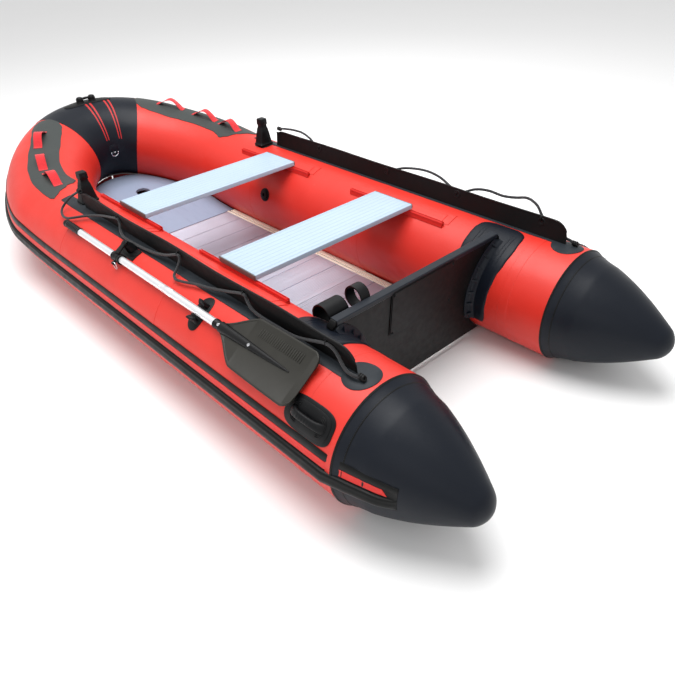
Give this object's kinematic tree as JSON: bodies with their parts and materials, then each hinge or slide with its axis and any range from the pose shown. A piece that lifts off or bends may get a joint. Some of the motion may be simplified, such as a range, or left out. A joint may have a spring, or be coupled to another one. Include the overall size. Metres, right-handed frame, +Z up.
{
  "type": "inflatable dinghy",
  "caption": "Inflatable dinghy with tapered stern tubes, raised bow, rigid transom, sectional floor, sliding bench seats and oars stowed along the side tubes.",
  "frame": {"origin": "on the ground under the middle of the boat's length and beam", "axes": "+X starboard, +Y towards the bow, +Z up"},
  "size_m": [1.576, 3.618, 0.6617],
  "materials": {
    "red_fabric": "coated fabric, satin red",
    "navy_fabric": "coated fabric, satin navy black",
    "bottom_fabric": "coated fabric, satin dark red",
    "transom_board": "plywood painted satin black",
    "pad_plastic": "moulded plate, matte black",
    "black_rubber": "moulded rubber, matte black",
    "bow_board": "plywood, painted grey-blue",
    "floor_aluminium": "ribbed, mill finish",
    "stringer_aluminium": "extruded, pale coated",
    "seat_aluminium": "ribbed plank, pale anodised",
    "track_fabric": "coated fabric flap, red",
    "flap_fabric": "coated fabric, dark grey",
    "rope": "braided rope, black",
    "strake_rubber": "extruded rubber, black with a red stripe",
    "steel_ring": "stainless, polished",
    "patch_fabric": "coated fabric patch, dark",
    "grab_webbing": "woven webbing, red on a dark pad",
    "valve_plastic": "moulded cap, black",
    "oarlock_plastic": "moulded nylon, black",
    "shaft_aluminium": "drawn tube, satin",
    "grip_plastic": "moulded grip, black",
    "blade_plastic": "moulded blade, dark grey"
  },
  "bodies": {
    "hull": {"port_tube": "red_fabric", "starboard_tube": "red_fabric", "port_bow": "red_fabric", "starboard_bow": "red_fabric", "bow_nose": "navy_fabric", "port_cone": "navy_fabric", "starboard_cone": "navy_fabric", "bottom_skin": "bottom_fabric", "bow_skin": "bottom_fabric", "keel": "bottom_fabric", "transom": "transom_board", "motor_pads": "pad_plastic", "stern_loops": "flap_fabric", "transom_holders": "black_rubber", "bow_board": "bow_board", "fore_panel": "floor_aluminium", "mid_panel": "floor_aluminium", "aft_panel": "floor_aluminium", "stringers": "stringer_aluminium", "seat_tracks": "track_fabric", "port_fin": "flap_fabric", "starboard_fin": "flap_fabric", "port_lifeline": "rope", "starboard_lifeline": "rope", "port_strake": "strake_rubber", "starboard_strake": "strake_rubber", "bow_handle": "black_rubber", "ring_patch": "patch_fabric", "stern_handles": "black_rubber", "port_grabs": "grab_webbing", "starboard_grabs": "grab_webbing", "posts": "black_rubber", "valves": "valve_plastic", "oarlock_bases": "black_rubber", "oar_clips": "black_rubber", "bow_ring": "steel_ring"},
    "fore_seat": {"fore_seat": "seat_aluminium"},
    "aft_seat": {"aft_seat": "seat_aluminium"},
    "port_oar": {"port_oarlock": "oarlock_plastic", "port_shaft": "shaft_aluminium", "port_grip": "grip_plastic", "port_blade": "blade_plastic"},
    "starboard_oar": {"starboard_oarlock": "oarlock_plastic", "starboard_shaft": "shaft_aluminium", "starboard_grip": "grip_plastic", "starboard_blade": "blade_plastic"}
  },
  "joints": [
    {"name": "fore_seat_slide", "type": "slide", "parent": "hull", "child": "fore_seat", "axis": [0, 1, 0], "range_m": [-0.12, 0.22]},
    {"name": "aft_seat_slide", "type": "slide", "parent": "hull", "child": "aft_seat", "axis": [0, 1, 0], "range_m": [-0.19, 0.16]},
    {"name": "port_oar_lift", "type": "slide", "parent": "hull", "child": "port_oar", "axis": [-0.5736, 0, 0.8192], "range_m": [0, 0.2]},
    {"name": "starboard_oar_lift", "type": "slide", "parent": "hull", "child": "starboard_oar", "axis": [0.5736, 0, 0.8192], "range_m": [0, 0.2]}
  ]
}
